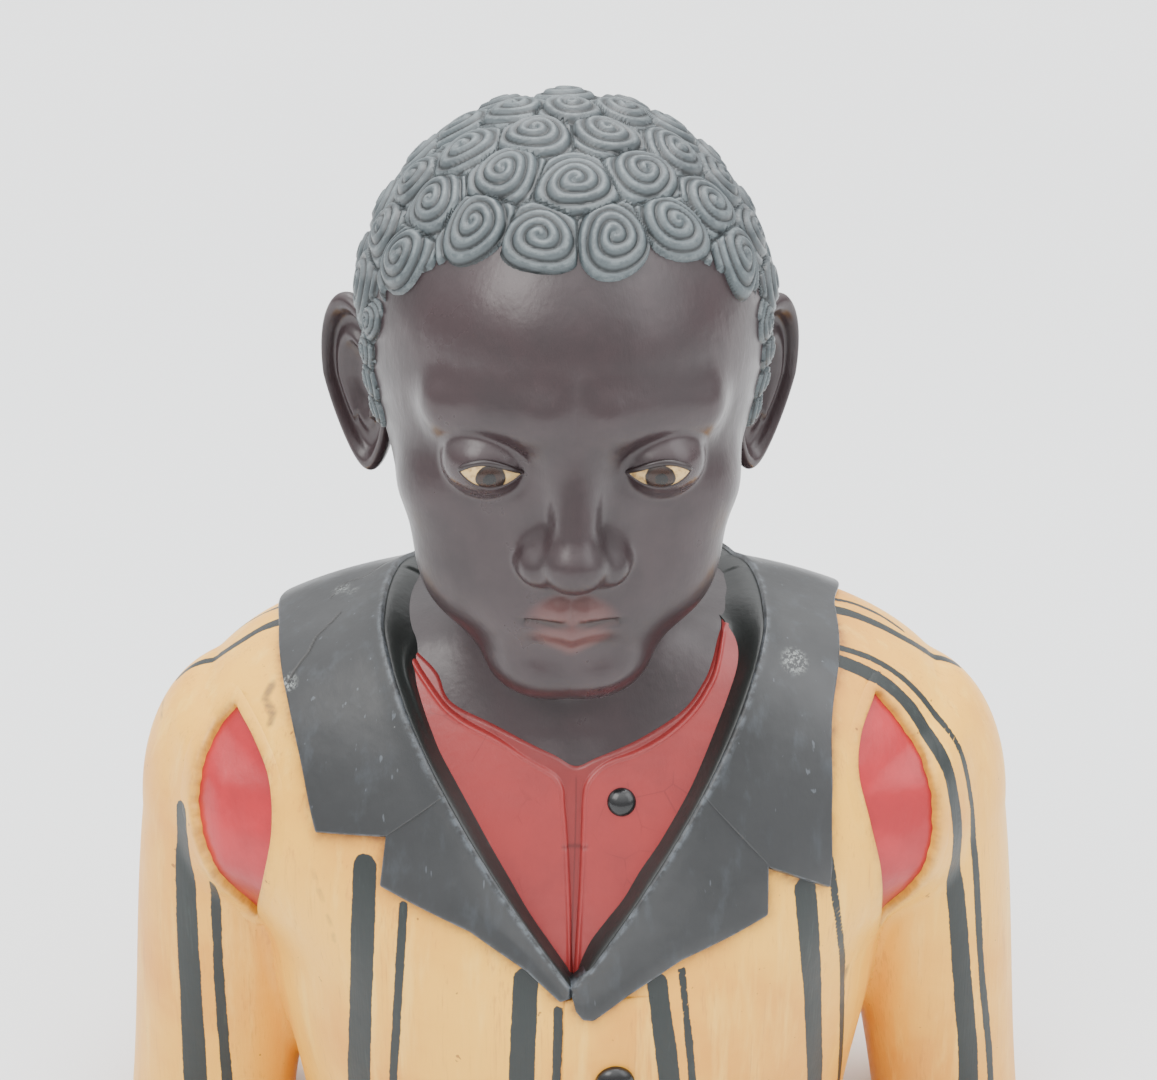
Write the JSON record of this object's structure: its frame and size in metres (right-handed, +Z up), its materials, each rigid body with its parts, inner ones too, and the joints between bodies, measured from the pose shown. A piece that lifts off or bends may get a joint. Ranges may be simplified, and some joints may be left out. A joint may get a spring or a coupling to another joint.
{
  "type": "carved wooden bust",
  "caption": "Carved and painted wooden bust of a figure in a jacket with notched lapels over an open-necked shirt, with tight carved curls, cut flat below so that it stands by itself.",
  "frame": {"origin": "on the flat underside, midway between the sleeves, in the plane of the sleeves' axes", "axes": "+Z up towards the crown, -Y the way the chest and face look, +X towards the right side of the view from the front"},
  "size_m": [0.438, 0.235, 0.4998],
  "materials": {
    "painted_wood": "oil paint on carved wood, worn satin: ochre jacket, slate lapels, red shirt, dark brown skin, grey hair"
  },
  "bodies": {
    "root": {"carved_figure": "painted_wood"}
  },
  "joints": []
}
